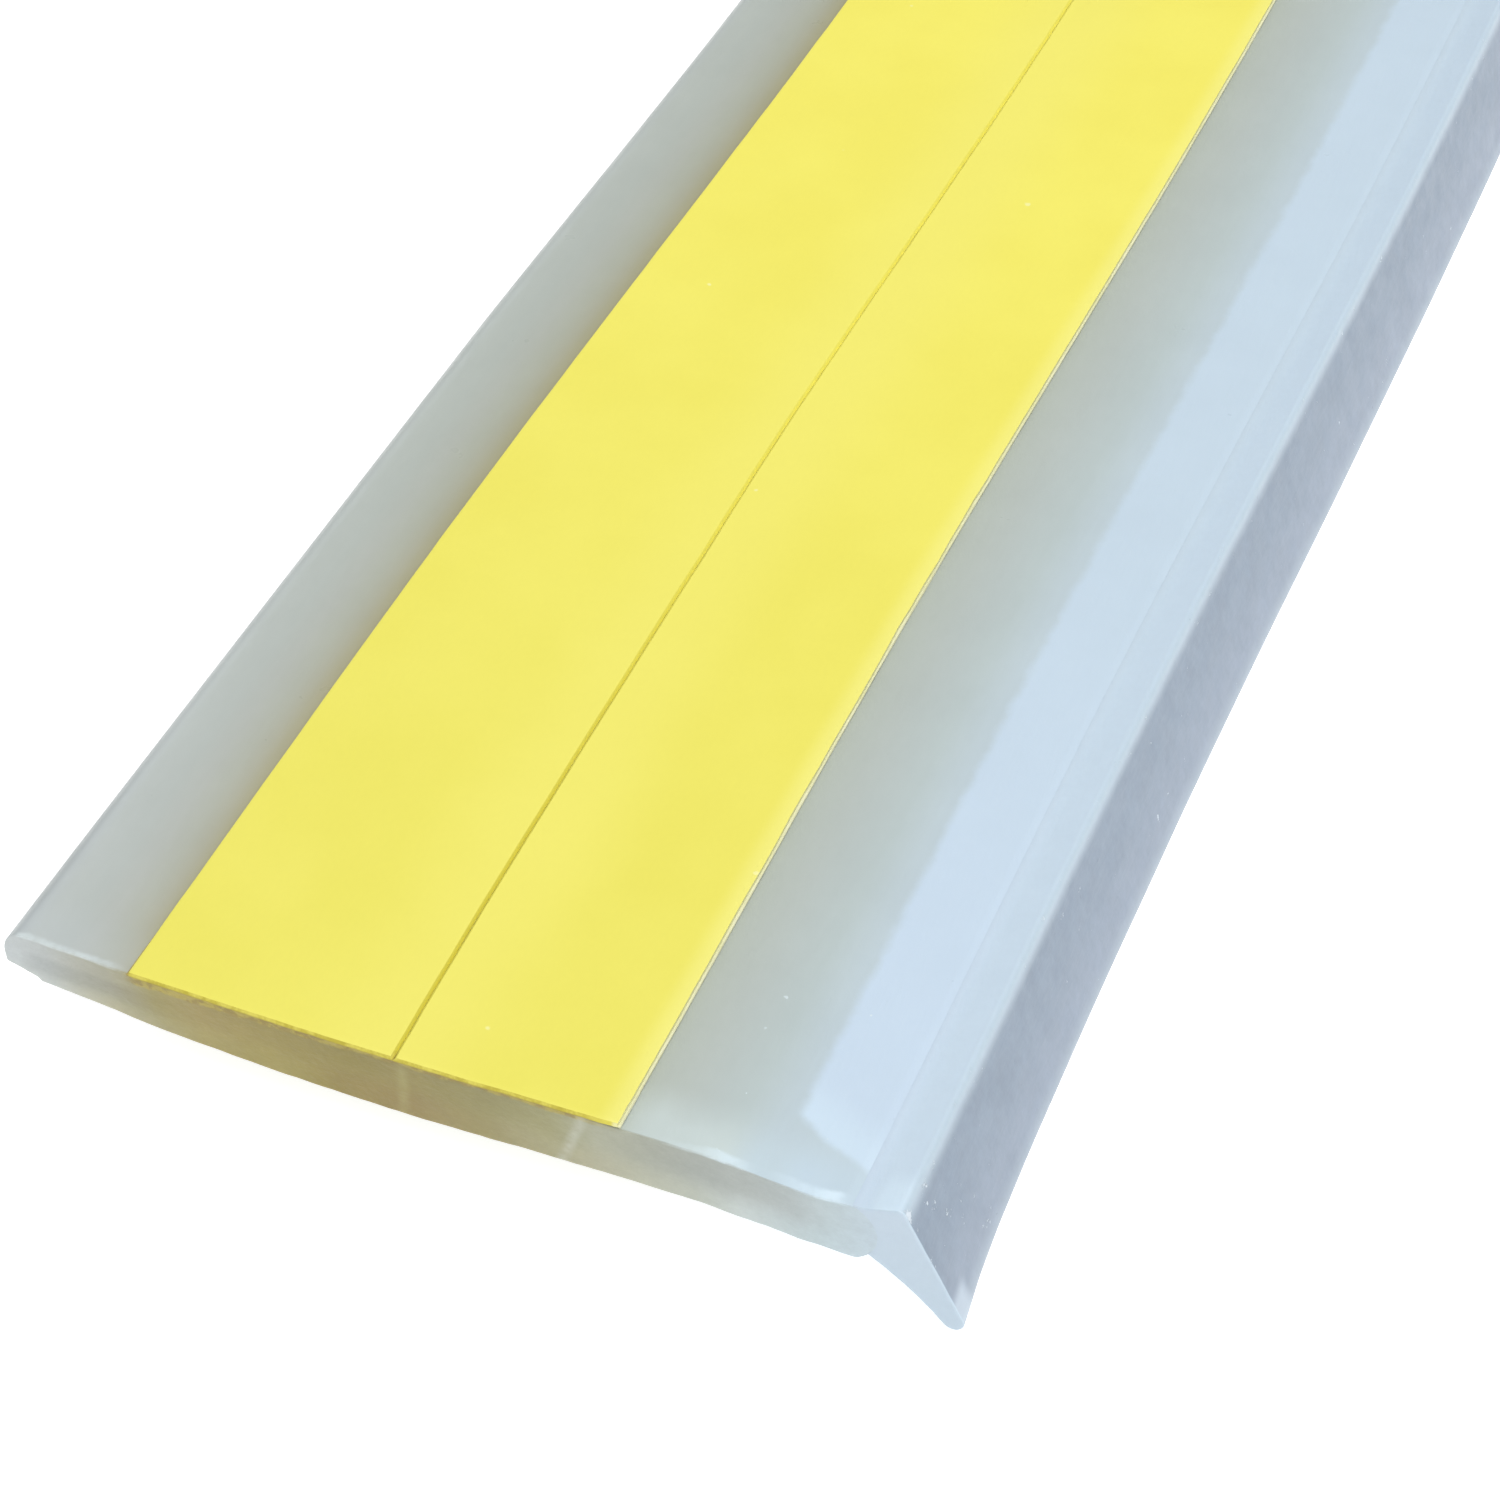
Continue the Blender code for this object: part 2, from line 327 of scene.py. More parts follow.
def lip_section(inset, us, vs):
    root, inner, tip, outer = lip_edges(inset)
    # the inner face has no fold, so its points keep pace with the outer face's
    U = us[:, None, None]
    V = vs[None, :, None]
    I = resample(inner, us ** 1.15)[:, None]
    O = resample(outer, us)[:, None]
    R = resample(root, vs)[None]
    T = resample(tip, vs)[None]
    return ((1 - V) * I + V * O + (1 - U) * R + U * T
            - ((1 - U) * (1 - V) * root[0] + (1 - U) * V * root[-1]
               + U * (1 - V) * tip[0] + U * V * tip[-1]))


def build_lip(mat):
    ys, inset = stations(0.09)
    us = np.array(sorted(set(np.round(np.concatenate([
        np.linspace(0, 0.2, 8), np.linspace(0.2, 0.36, 20), np.linspace(0.36, 1.0, 30)]), 5))))
    vs = np.linspace(0, 1, 17)
    grid = np.empty((len(us), len(vs), len(ys), 3))
    rest = np.empty_like(grid)
    n_out = np.array([0.935, 0.355])
    cache = {}
    for j, (y, s) in enumerate(zip(ys, inset)):
        key = round(float(s), 6)
        if key not in cache:
            cache[key] = lip_section(key, us, vs)
        P = cache[key].copy()
        rest[:, :, j, 0], rest[:, :, j, 1], rest[:, :, j, 2] = P[..., 0], y, P[..., 1]
        # the soft lip hangs steeper than its end, which the cut left flared
        sway = np.interp(min(y, LENGTH - y), [0, 1.2, 2.5, 5, 9, 16, 40], [-0.08, -0.20, -0.33, -0.47, -0.57, -0.62, -0.60])
        sway += 0.05 * noise.noise(Vector((y * 0.021, 3.7, 0.0))) + 0.03 * noise.noise(Vector((y * 0.11, 9.1, 0.0)))
        k = smooth(-0.3, 1.3, (us - 0.24) / 0.76)[:, None] * smooth(0.16, 0.36, us)[:, None]
        k = k / k[-1]
        P[..., 0] += k * sway + bow(P[..., 0], y)
        P[..., 1] += k * 0.012
        grid[:, :, j, 0] = P[..., 0]
        grid[:, :, j, 2] = P[..., 1]
        grid[:, :, j, 1] = along(P[..., 0], P[..., 1] * 0.6, np.full(P.shape[:2], y))
    ob = block("lip_body", grid, [mat], rest=rest, sharp=38.0)
    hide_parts("sweep_lip")
    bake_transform(ob)
    return ob


def slit(y):
    """The cutter that slit the liner wandered a little."""
    y = np.asarray(y, float)
    near = np.interp(y, [0, 2.4, 5, 8, 13, 20, 30, 40], [17.76, 17.68, 17.60, 17.53, 17.48, 17.42, 17.33, 17.15])
    later = 17.28 + 0.16 * np.cos((y - 40.0) / 62.0 + 2.7) + 0.03 * np.sin(y / 9.0)
    k = smooth(30.0, 60.0, y)
    return near * (1 - k) + later * k + 0.014 * wobble(y * 0.8, 0.0 * y, 11)


# near end of the liner, as (x, y): it was cut a little askew and stands proud
LINER_END = np.array([(6.0, -0.33), (12.0, -0.33), (14.6, -0.32), (16.6, -0.29), (18.8, -0.25), (21.0, -0.20),
                      (22.9, -0.12), (24.9, -0.07), (25.9, -0.03), (26.9, 0.01), (27.3, 0.02)])


def build_liner(name, body, node, mats, left):
    ys, _ = stations(0.03)
    ys = ys[3:-3]
    ys = (ys - ys[0]) / (ys[-1] - ys[0])
    lo_y = np.interp([LINER_X0, SLIT_X - 0.3, LINER_X1], LINER_END[:, 0], LINER_END[:, 1])
    us = np.concatenate([[0, 0.003, 0.008, 0.02], np.linspace(0.05, 0.95, 30), [0.98, 0.992, 0.997, 1.0]])
    ks = np.array([0.0, 0.10, 0.35, 0.65, 0.90, 1.0])
    Y = ys * LENGTH
    if left:
        a = LINER_X0 + 0.02 + 0.02 * wobble(Y * 0.5, 0 * Y, 21) + 0.10 * np.exp(-Y / 9.0)
        b = slit(Y) - 0.002
    else:
        a = slit(Y) + 0.002
        # the tape's slit edge is ragged
        ragged = wobble(Y * 1.7, 0 * Y, 22) * 0.05 + wobble(Y * 5.0, 0 * Y, 23) * 0.02
        b = LINER_X1 - 0.07 + ragged * (0.35 + smooth(8, 14, Y) * (1 - smooth(30, 45, Y)))
    X = a[None, None, :] * (1 - us[:, None, None]) + b[None, None, :] * us[:, None, None]
    X = np.broadcast_to(X, (len(us), len(ks), len(ys))).copy()
    K = np.broadcast_to(ks[None, :, None], X.shape)
    Yg = np.broadcast_to(Y[None, None, :], X.shape)
    near = np.interp(X, LINER_END[:, 0], LINER_END[:, 1]) + 0.012 * wobble(X[:, :1, :1] * 2.3, 0.0, 24)
    far = -0.30 + 0.02 * (X - 17.0) / 10 + 0.02 * wobble(X[:, :1, :1] * 1.7, 4.0, 25)
    span = (LENGTH - far) - near
    real_y = near + span * ys[None, None, :]
    # paper: rounded upper arris, edges that lift by a few hundredths
    t = 0.172
    edge = np.minimum(X - a, b - X)
    edge = np.minimum(edge, np.minimum(real_y - near, LENGTH - far - real_y))
    round_off = 0.022 * (1 - smooth(0.0, 0.05, edge)) * np.where(K > 0.7, 1.0, np.where(K < 0.3, -0.5, 0.0))
    Z = 0.130 + t * K - round_off
    inner_edge = (b - X) if left else (X - a)
    # the slit is a narrow V, open at the top
    lean = (0.10 if left else 0.11) * K * (1 - smooth(0.0, 0.16, inner_edge))
    X = X - lean if left else X + lean
    # the cutter raised a fine burr along the slit
    burr = np.exp(-np.maximum(inner_edge, 0) / (0.55 if left else 0.30))
    Z = Z + burr * (0.030 if left else 0.012) * (0.55 + 0.45 * wobble(Y * 0.35, 0 * Y, 26 if left else 27))[None, None, :]
    Z = Z + 0.006 * wobble(X[:, :1] * 0.25, Yg[:, :1] * 0.07, 28)
    rest = np.stack([X, Yg, Z], -1)
    foot = (0.085 + 0.03 * wobble(X[:, :1, :1] * 1.9, 2.0, 29)) * (1 - K) * (ys == 0.0)
    real_y = real_y - foot
    grid = np.stack([X + bow(X, Yg), real_y, Z], -1)
    ob = block(name, grid, mats, pick=[1, 1, 1, 0, 1, 1], rest=rest, sharp=50.0)
    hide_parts(node)
    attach(ob, body)
    return ob


def build_layer(name, node, mat, z, t, edge, seed, end=0.0):
    """One layer of the tape, with the slightly uneven edges of a cut roll."""
    ys, _ = stations(0.03)
    ys = ys[3:-3]
    ys = (ys - ys[0]) / (ys[-1] - ys[0])
    us = np.concatenate([[0, 0.0012, 0.004], np.linspace(0.02, 0.98, 44), [0.996, 0.9988, 1.0]])
    ks = np.array([0.0, 0.25, 0.5, 0.75, 1.0])
    Y = ys * LENGTH
    a = TAPE_X0 + 0.08 - edge * (0.4 + 0.6 * wobble(Y * 0.6, 0 * Y, seed))
    b = TAPE_X1 - 0.12 + edge * (0.4 + 0.6 * wobble(Y * 0.55, 0 * Y, seed + 1))
    X = a[None, None, :] * (1 - us[:, None, None]) + b[None, None, :] * us[:, None, None]
    X = np.broadcast_to(X, (len(us), len(ks), len(ys))).copy()
    K = np.broadcast_to(ks[None, :, None], X.shape)
    Yg = np.broadcast_to(Y[None, None, :], X.shape)
    bulge = edge * np.sin(np.pi * K)
    X = X + bulge * (us[:, None, None] == 1.0) - bulge * (us[:, None, None] == 0.0)
    stray = end * (0.5 + wobble(X[:, :1, :1] * 1.3, 0.0, seed + 2)) + end * 0.6 * wobble(X[:, :1, :1] * 4.0, 1.0, seed + 3)
    near = 0.03 + np.interp(X, CUT[:, 0], CUT[:, 1]) * 0.7 - stray + 0.62 * np.minimum(np.interp(X, LINER_END[:, 0], LINER_END[:, 1]), 0.0)
    far = cut_line(X, 0.0 * X, True) * 0.7 - stray * 0.5 + 0.05
    real_y = near + (LENGTH - far - near) * ys[None, None, :] - end * np.sin(np.pi * K) * (ys == 0.0)
    Z = z + t * K
    rest = np.stack([X, Yg, Z], -1)
    ob = block(name, np.stack([X + bow(X, Yg), real_y, Z], -1), [mat], rest=rest, sharp=60.0)
    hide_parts(node)
    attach(ob, "strip")
    return ob


# ---- materials -----------------------------------------------------------------
def tone(r, g, b):
    """An 8-bit display colour as linear light."""
    def lin(c):
        c /= 255.0
        return c / 12.92 if c <= 0.04045 else ((c + 0.055) / 1.055) ** 2.4
    return (lin(r), lin(g), lin(b))


class Look:
    """A small writer of node materials."""

    def __init__(self, name):
        self.mat = bpy.data.materials.new(name)
        self.mat.use_nodes = True
        self.tree = self.mat.node_tree
        self.bsdf = self.tree.nodes["Principled BSDF"]
        self._axes = None

    def put(self, socket, value):
        if isinstance(value, bpy.types.NodeSocket):
            self.tree.links.new(value, socket)
        elif isinstance(value, tuple) and len(value) == 3 and socket.type == "RGBA":
            socket.default_value = (*value, 1.0)
        else:
            socket.default_value = value

    def node(self, kind, **props):
        n = self.tree.nodes.new(kind)
        for k, v in props.items():
            setattr(n, k, v)
        return n

    def axes(self):
        if self._axes is None:
            at = self.node("ShaderNodeAttribute", attribute_type="GEOMETRY", attribute_name="rest")
            sep = self.node("ShaderNodeSeparateXYZ")
            self.tree.links.new(at.outputs["Vector"], sep.inputs[0])
            self._axes = (at.outputs["Vector"], *sep.outputs[:3])
        return self._axes

    def math(self, op, a, b=0.0, clamp=False):
        n = self.node("ShaderNodeMath", operation=op, use_clamp=clamp)
        self.put(n.inputs[0], a)
        self.put(n.inputs[1], b)
        return n.outputs[0]

    def step(self, value, a, b, lo=0.0, hi=1.0):
        """Smoothly from lo to hi as value goes from a to b."""
        n = self.node("ShaderNodeMapRange", interpolation_type="SMOOTHSTEP")
        self.put(n.inputs["Value"], value)
        n.inputs["From Min"].default_value = a
        n.inputs["From Max"].default_value = b
        n.inputs["To Min"].default_value = lo
        n.inputs["To Max"].default_value = hi
        return n.outputs["Result"]

    def mix(self, fac, a, b, blend="MIX"):
        n = self.node("ShaderNodeMix", data_type="RGBA", blend_type=blend)
        self.put(n.inputs[0], fac)
        self.put(n.inputs[6], a)
        self.put(n.inputs[7], b)
        return n.outputs[2]

    def noise(self, scale, detail=2.0, rough=0.5, stretch=(1, 1, 1), shift=0.0):
        vec = self.axes()[0]
        m = self.node("ShaderNodeVectorMath", operation="MULTIPLY_ADD")
        self.tree.links.new(vec, m.inputs[0])
        m.inputs[1].default_value = tuple(s * scale for s in stretch)
        m.inputs[2].default_value = (shift, shift * 0.7, shift * 1.3)
        n = self.node("ShaderNodeTexNoise", noise_dimensions="3D")
        self.tree.links.new(m.outputs[0], n.inputs["Vector"])
        n.inputs["Scale"].default_value = 1.0
        n.inputs["Detail"].default_value = detail
        n.inputs["Roughness"].default_value = rough
        return n.outputs["Fac"]

    def ramp(self, fac, stops):
        n = self.node("ShaderNodeValToRGB")
        self.put(n.inputs[0], fac)
        el = n.color_ramp.elements
        while len(el) > 1:
            el.remove(el[-1])
        el[0].position, el[0].color = stops[0][0], (*stops[0][1], 1.0)
        for p, c in stops[1:]:
            e = el.new(p)
            e.color = (*c, 1.0)
        return n.outputs["Color"]

    def shade(self, colour, fac, amount):
        """Colour times 1 - amount .. 1 + amount as fac goes from 0 to 1."""
        gain = self.math("MULTIPLY_ADD", fac, 2 * amount)
        gain.node.inputs[2].default_value = 1.0 - amount
        n = self.node("ShaderNodeVectorMath", operation="SCALE")
        self.put(n.inputs[0], colour)
        self.put(n.inputs["Scale"], gain)
        return n.outputs[0]

    def bump(self, height, strength, distance, after=None):
        n = self.node("ShaderNodeBump")
        n.inputs["Strength"].default_value = strength
        n.inputs["Distance"].default_value = distance
        self.put(n.inputs["Height"], height)
        if after is not None:
            self.tree.links.new(after, n.inputs["Normal"])
        return n.outputs["Normal"]

    def finish(self, colour, roughness, normal=None, **values):
        self.put(self.bsdf.inputs["Base Color"], colour)
        self.put(self.bsdf.inputs["Roughness"], roughness)
        if normal is not None:
            self.tree.links.new(normal, self.bsdf.inputs["Normal"])
        for k, v in values.items():
            self.bsdf.inputs[k.replace("_", " ")].default_value = v
        return self.mat


GAIN = 0.92         # share of the light that reaches the camera off a white face


def paint(r, g, b):
    return tuple(min(0.95, c * GAIN) for c in tone(r, g, b))


def end_distance(k):
    _, _, y, _ = k.axes()
    return k.math("MINIMUM", y, k.math("SUBTRACT", LENGTH, y))


def web_material():
    k = Look("web_milky_plastic")
    vec, x, y, z = k.axes()
    end = end_distance(k)
    # face: grey-green by the tape, bluer towards the lip and the nose. Painted shade: the nose's first half millimetre
    # is painted darker, and the plain-side margin beside the tape is painted warmer and darker for the tape's soft
    # shadow and the light it tints
    def stops(*rows):
        return [(at / 37.5, paint(*c)) for at, c in rows]

    # beside the tape this painted warm shade draws back a little towards the cut
    xw = k.math("SUBTRACT", x, k.math("MULTIPLY", k.step(end, 15.0, 1.5, 0.0, 0.40), k.step(x, 9.0, 6.6)))
    face = k.ramp(k.math("DIVIDE", k.math("MAXIMUM", xw, 0.0), 37.5), stops(
        (0.0, (166, 172, 172)), (0.45, (176, 182, 182)), (0.8, (187, 193, 192)), (1.2, (188, 194, 191)),
        (2.5, (184, 190, 186)), (3.5, (183, 187, 181)),
        (4.5, (179, 182, 170)), (5.1, (176, 176, 159)), (5.6, (173, 170, 144)), (6.2, (168, 162, 131)),
        (7.5, (172, 168, 140)), (26.8, (176, 176, 154)), (27.05, (183, 190, 180)), (28.8, (185, 193, 188)),
        (30.0, (186, 196, 194)), (31.1, (187, 199, 199)), (32.6, (192, 206, 213)), (34.9, (197, 212, 220)),
        (37.5, (199, 215, 224))))
    # warmer and a touch darker on the plain margin away from the cut
    face = k.mix(k.math("MULTIPLY", k.step(end, 2.0, 38.0), k.step(x, 9.0, 6.6)), face, (0.94, 0.945, 0.91), "MULTIPLY")
    cloud = k.noise(0.22, 3.0, 0.55)
    face = k.shade(face, cloud, 0.045)
    face = k.shade(face, k.noise(2.4, 3.0, 0.6, stretch=(1, 0.25, 1), shift=4.0), 0.022)
    # painted light: the last millimetres before a cut are painted paler, most of all by the lip
    white = k.step(end, 3.0, 0.5)
    white = k.math("MULTIPLY", white, k.step(k.noise(0.5, 2.0, 0.5, shift=9.0), 0.2, 0.8, 0.7, 1.0))
    white = k.math("MULTIPLY", white, k.step(x, 26.5, 28.4, 0.30, 0.95))
    cut_glow_tint = k.mix(k.step(x, 30.8, 32.4), paint(206, 218, 217), paint(200, 217, 226))
    cut_glow_tint = k.mix(k.step(x, 32.8, 34.4), cut_glow_tint, paint(200, 218, 231))
    face = k.mix(white, face, k.mix(k.step(x, 8.0, 5.0), cut_glow_tint, paint(196, 204, 208)))
    # painted reflection: a paler band from the crease on, the sheen of a bright panel on the gloss; it stops on a slant
    # at the cut and is painted paler still near that slant
    slant = k.math("SUBTRACT", end, k.math("MULTIPLY_ADD", x, -0.47))
    slant.node.inputs[1].links[0].from_node.inputs[2].default_value = 18.7
    frayed = k.math("MULTIPLY", k.math("SUBTRACT", k.noise(0.9, 3.0, 0.6, shift=13.0), 0.5), 0.5)
    reflection_band = k.math("MULTIPLY", k.step(k.math("ADD", x, frayed), CREASE_X - 0.14, CREASE_X + 0.44),
                  k.step(k.math("ADD", slant, frayed), -0.25, 0.30))
    soft = k.mix(k.step(end, 6.0, 42.0), paint(204, 221, 238), paint(201, 218, 232))
    soft = k.mix(k.math("MULTIPLY", k.step(slant, 2.6, 0.4), 0.7), soft, paint(212, 231, 246))
    face = k.mix(reflection_band, face, k.shade(soft, cloud, 0.03))
    # a few pale specks of swarf pressed in by the lip
    swarf = k.step(k.noise(1.5, 2.0, 0.5, shift=21.0), 0.735, 0.76)
    face = k.mix(k.math("MULTIPLY", swarf, k.math("MULTIPLY", k.step(x, 29.5, 31.0), k.step(end, 14.0, 9.0))),
                 face, paint(226, 238, 243))
    # cut end: painted light and shade, the cut face is painted darker and olive under the tape, standing in for the
    # light the yellow liner filters into the translucent body and the shade beneath it
    cut = k.ramp(k.math("DIVIDE", x, 37.5), stops(
        (0.0, (200, 206, 207)), (0.8, (195, 201, 201)), (2.0, (187, 192, 190)), (3.5, (178, 179, 167)),
        (5.0, (168, 166, 146)), (7.0, (164, 154, 99)), (9.0, (162, 146, 88)), (12.0, (157, 143, 82)),
        (15.0, (149, 136, 73)), (18.0, (152, 139, 80)), (21.0, (152, 144, 94)), (24.0, (160, 156, 112)),
        (26.0, (175, 176, 153)), (28.0, (168, 171, 157)), (30.0, (167, 172, 165)), (32.0, (175, 181, 177)),
        (34.0, (181, 190, 190)), (35.5, (189, 203, 207)), (37.5, (196, 212, 223))))
    foot = k.ramp(k.math("DIVIDE", x, 37.5), stops(
        (0.0, (198, 204, 202)), (2.0, (194, 199, 194)), (3.5, (189, 189, 171)), (5.0, (181, 177, 147)),
        (7.0, (166, 158, 114)), (9.0, (165, 152, 92)), (13.0, (159, 146, 80)), (15.0, (151, 134, 70)),
        (18.0, (152, 134, 82)), (21.0, (157, 146, 96)), (24.0, (169, 164, 127)), (26.0, (180, 178, 152)),
        (28.0, (185, 187, 168)), (30.0, (185, 190, 178)), (32.0, (199, 208, 206)), (35.0, (192, 207, 211)),
        (37.5, (197, 213, 223))))
    cut = k.mix(k.step(z, -1.3, -2.75), cut, foot)
    # dull patch halfway down, by the plain edge
    dull = k.math("MULTIPLY", k.math("MULTIPLY", k.step(z, -0.80, -1.25), k.step(z, -2.35, -1.80)), k.step(x, 9.0, 6.0))
    cut = k.mix(k.math("MULTIPLY", dull, k.step(x, 0.6, 1.6)), cut, (0.87, 0.87, 0.87), "MULTIPLY")
    # painted shade: a brown-yellow zone along the top of the cut face under the tape, where the overhanging liner
    # shades it
    zr = k.math("ADD", z, k.math("MULTIPLY", k.math("SUBTRACT", k.noise(1.3, 4.0, 0.65, shift=19.0), 0.5), 0.42))
    zr = k.math("SUBTRACT", zr, k.step(x, 13.0, 26.0, -0.60, -0.30))
    under_tape_shade = k.math("MULTIPLY", k.step(zr, -0.10, 0.06), k.math("MULTIPLY", k.step(x, 5.6, 6.4), k.step(x, 27.2, 24.8)))
    cut = k.mix(k.math("MULTIPLY", under_tape_shade, 0.85), cut, k.mix(k.step(k.noise(2.2, 3.0, 0.6, shift=18.0), 0.4, 0.6), paint(160, 140, 70), paint(188, 171, 78)))
    cut = k.shade(cut, k.noise(0.9, 6.0, 0.66, stretch=(1, 1, 1.2), shift=2.0), 0.12)
    cut = k.shade(cut, k.noise(4.5, 5.0, 0.7, shift=5.0), 0.09)
    # two pale drag marks left by the saw
    for at, slope, wide, share, tint in ((17.95, 0.08, 0.42, 0.45, paint(176, 168, 112)),
                                         (25.55, 0.35, 0.40, 0.50, paint(204, 208, 194))):
        off = k.math("ABSOLUTE", k.math("SUBTRACT", x, k.math("MULTIPLY_ADD", z, slope)))
        off.node.inputs[0].links[0].from_node.inputs[1].links[0].from_node.inputs[2].default_value = at
        line = k.math("MULTIPLY", k.step(off, wide, 0.0), k.step(k.noise(1.6, 3.0, 0.6, shift=17.0), 0.3, 0.6, 0.4, 1.0))
        cut = k.mix(k.math("MULTIPLY", line, share), cut, tint)
    on_end = k.math("MULTIPLY", k.step(end, 0.075, 0.02), k.step(z, -0.03, -0.12))
    colour = k.mix(on_end, face, cut)
    # the arris of the cut catches the light
    ragged = k.math("ADD", end, k.math("MULTIPLY", k.math("SUBTRACT", k.noise(1.1, 3.0, 0.6, shift=12.0), 0.5), 0.34))
    ragged = k.math("SUBTRACT", ragged, k.step(x, 28.5, 32.0, 0.0, 0.22))
    arris = k.math("MULTIPLY", k.step(ragged, 0.34, 0.12), k.step(z, -0.24, -0.10))
    arris = k.math("MULTIPLY", arris, k.step(k.noise(1.4, 2.0, 0.6, shift=7.0), 0.3, 0.6, 0.45, 1.0))
    bare = k.math("MAXIMUM", k.step(x, 6.2, 4.2, 0.0, 0.85), k.step(x, 28.0, 31.5))
    arris = k.math("MULTIPLY", arris, k.math("MULTIPLY", bare, k.step(x, 36.3, 35.6)))
    colour = k.mix(arris, colour, k.mix(k.step(x, 10.0, 25.0), paint(211, 220, 221), k.mix(k.step(x, 30.0, 33.0), paint(214, 228, 231), paint(222, 240, 252))))
    fine = k.noise(3.2, 3.0, 0.6, stretch=(1, 0.12, 1), shift=1.0)
    grain = k.noise(14.0, 2.0, 0.5, shift=3.0)
    saw = k.noise(2.6, 4.0, 0.6, stretch=(1.0, 1, 1.3), shift=6.0)
    normal = k.bump(fine, 0.22, 0.00006)
    normal = k.bump(grain, 0.12, 0.00002, normal)
    normal = k.bump(k.math("MULTIPLY", saw, on_end), 0.5, 0.00012, normal)
    rough = k.math("ADD", k.step(k.noise(0.6, 3.0, 0.6, shift=8.0), 0.2, 0.8, 0.27, 0.38), k.math("MULTIPLY", on_end, 0.22))
    return k.finish(colour, rough, normal, IOR=1.49, Subsurface_Weight=0.10,
                    Subsurface_Radius=(1.0, 1.0, 0.9), Subsurface_Scale=0.0005)


def lip_material():
    k = Look("lip_soft_plastic")
    vec, x, y, z = k.axes()
    end = end_distance(k)
    # distance in front of the outer face's plane
    off = k.math("ADD", k.math("MULTIPLY", k.math("SUBTRACT", x, LIP_FOLD_X), 0.917),
                 k.math("MULTIPLY", k.math("SUBTRACT", z, LIP_FOLD_Z), 0.398))
    outer = k.math("MULTIPLY", k.step(off, -0.17, 0.0), k.step(x, 37.4, 37.9))
    outer = k.math("MULTIPLY", outer, k.step(end, 0.03, 0.12))
    # painted reflection: the web's painted pale band runs a little way up the lip before it fades
    top = k.mix(k.step(x, 36.4, 37.2), k.mix(k.step(end, 6.0, 42.0), paint(204, 221, 238), paint(201, 218, 232)),
                paint(203, 220, 235))
    top = k.mix(k.step(x, 37.9, 38.3), top, paint(199, 216, 230))
    # painted highlight: the top is painted paler in the last couple of millimetres before a cut
    top = k.mix(k.math("MULTIPLY", k.step(end, 2.2, 0.9), k.step(x, 36.9, 37.5)), top, paint(211, 229, 243))
    top = k.shade(top, k.noise(0.35, 3.0, 0.55), 0.02)
    # frosted side: mottled, a little paler low down; its tone is also painted darker than the top as painted shade of
    # the face turned from the light
    side = k.mix(k.step(z, -1.2, -4.8), paint(140, 155, 173), paint(151, 164, 182))
    side = k.shade(side, k.noise(0.5, 4.0, 0.6, stretch=(1, 0.8, 1), shift=3.0), 0.13)
    side = k.shade(side, k.noise(2.2, 6.0, 0.68, stretch=(0.7, 1, 0.7), shift=24.0), 0.11)
    # painted light: paler towards the fold, where the bend catches light
    side = k.mix(k.step(z, -0.40, 0.48), side, paint(192, 209, 222))
    # painted light: paler along the bottom, where the rounded tip is lit from the floor
    side = k.mix(k.math("MULTIPLY", k.step(z, -4.4, -5.5), 0.75), side, paint(182, 195, 207))
    side = k.shade(side, k.noise(4.0, 4.0, 0.65, stretch=(0.6, 1, 0.6), shift=14.0), 0.05)
    # scuffs: pale flecks and a few dark specks pressed into the soft face
    worn = k.math("ADD", k.step(z, -1.2, 0.3, 0.0, 0.05), k.step(end, 12.0, 1.0, 0.0, 0.04))
    fleck = k.step(k.math("ADD", k.noise(1.3, 6.0, 0.68, shift=5.0), worn), 0.675, 0.715)
    side = k.mix(k.math("MULTIPLY", fleck, 0.85), side, paint(222, 233, 243))
    speck = k.step(k.noise(2.6, 3.0, 0.6, shift=11.0), 0.70, 0.76)
    side = k.mix(k.math("MULTIPLY", speck, 0.5), side, paint(124, 137, 153))
    # painted highlight along the rounded tip, near the cut ends
    tip_glint = k.math("MULTIPLY", k.step(z, -3.9, -4.5), k.step(end, 1.6, 0.8))
    side = k.mix(k.math("MULTIPLY", tip_glint, 0.8), side, paint(200, 214, 228))
    cut = k.shade(k.mix(k.step(z, 0.2, -5.0), paint(196, 212, 226), paint(192, 209, 223)),
                  k.noise(0.9, 4.0, 0.6, shift=16.0), 0.03)
    colour = k.mix(k.step(end, 0.075, 0.02), k.mix(outer, top, side), cut)
    colour = k.shade(colour, k.noise(3.0, 2.0, 0.5, shift=6.0), 0.02)
    fine = k.noise(2.6, 3.0, 0.6, stretch=(1, 0.2, 1), shift=2.0)
    grain = k.noise(11.0, 2.0, 0.5, shift=3.0)
    normal = k.bump(fine, 0.25, 0.00008)
    normal = k.bump(grain, 0.15, 0.00002, normal)
    normal = k.bump(k.math("MULTIPLY", fleck, outer), 0.5, 0.00010, normal)
    rough = k.step(k.noise(0.9, 3.0, 0.6, shift=8.0), 0.2, 0.8, 0.30, 0.46)
    return k.finish(colour, rough, normal, IOR=1.47, Subsurface_Weight=0.10,
                    Subsurface_Radius=(0.9, 1.0, 1.1), Subsurface_Scale=0.0005)


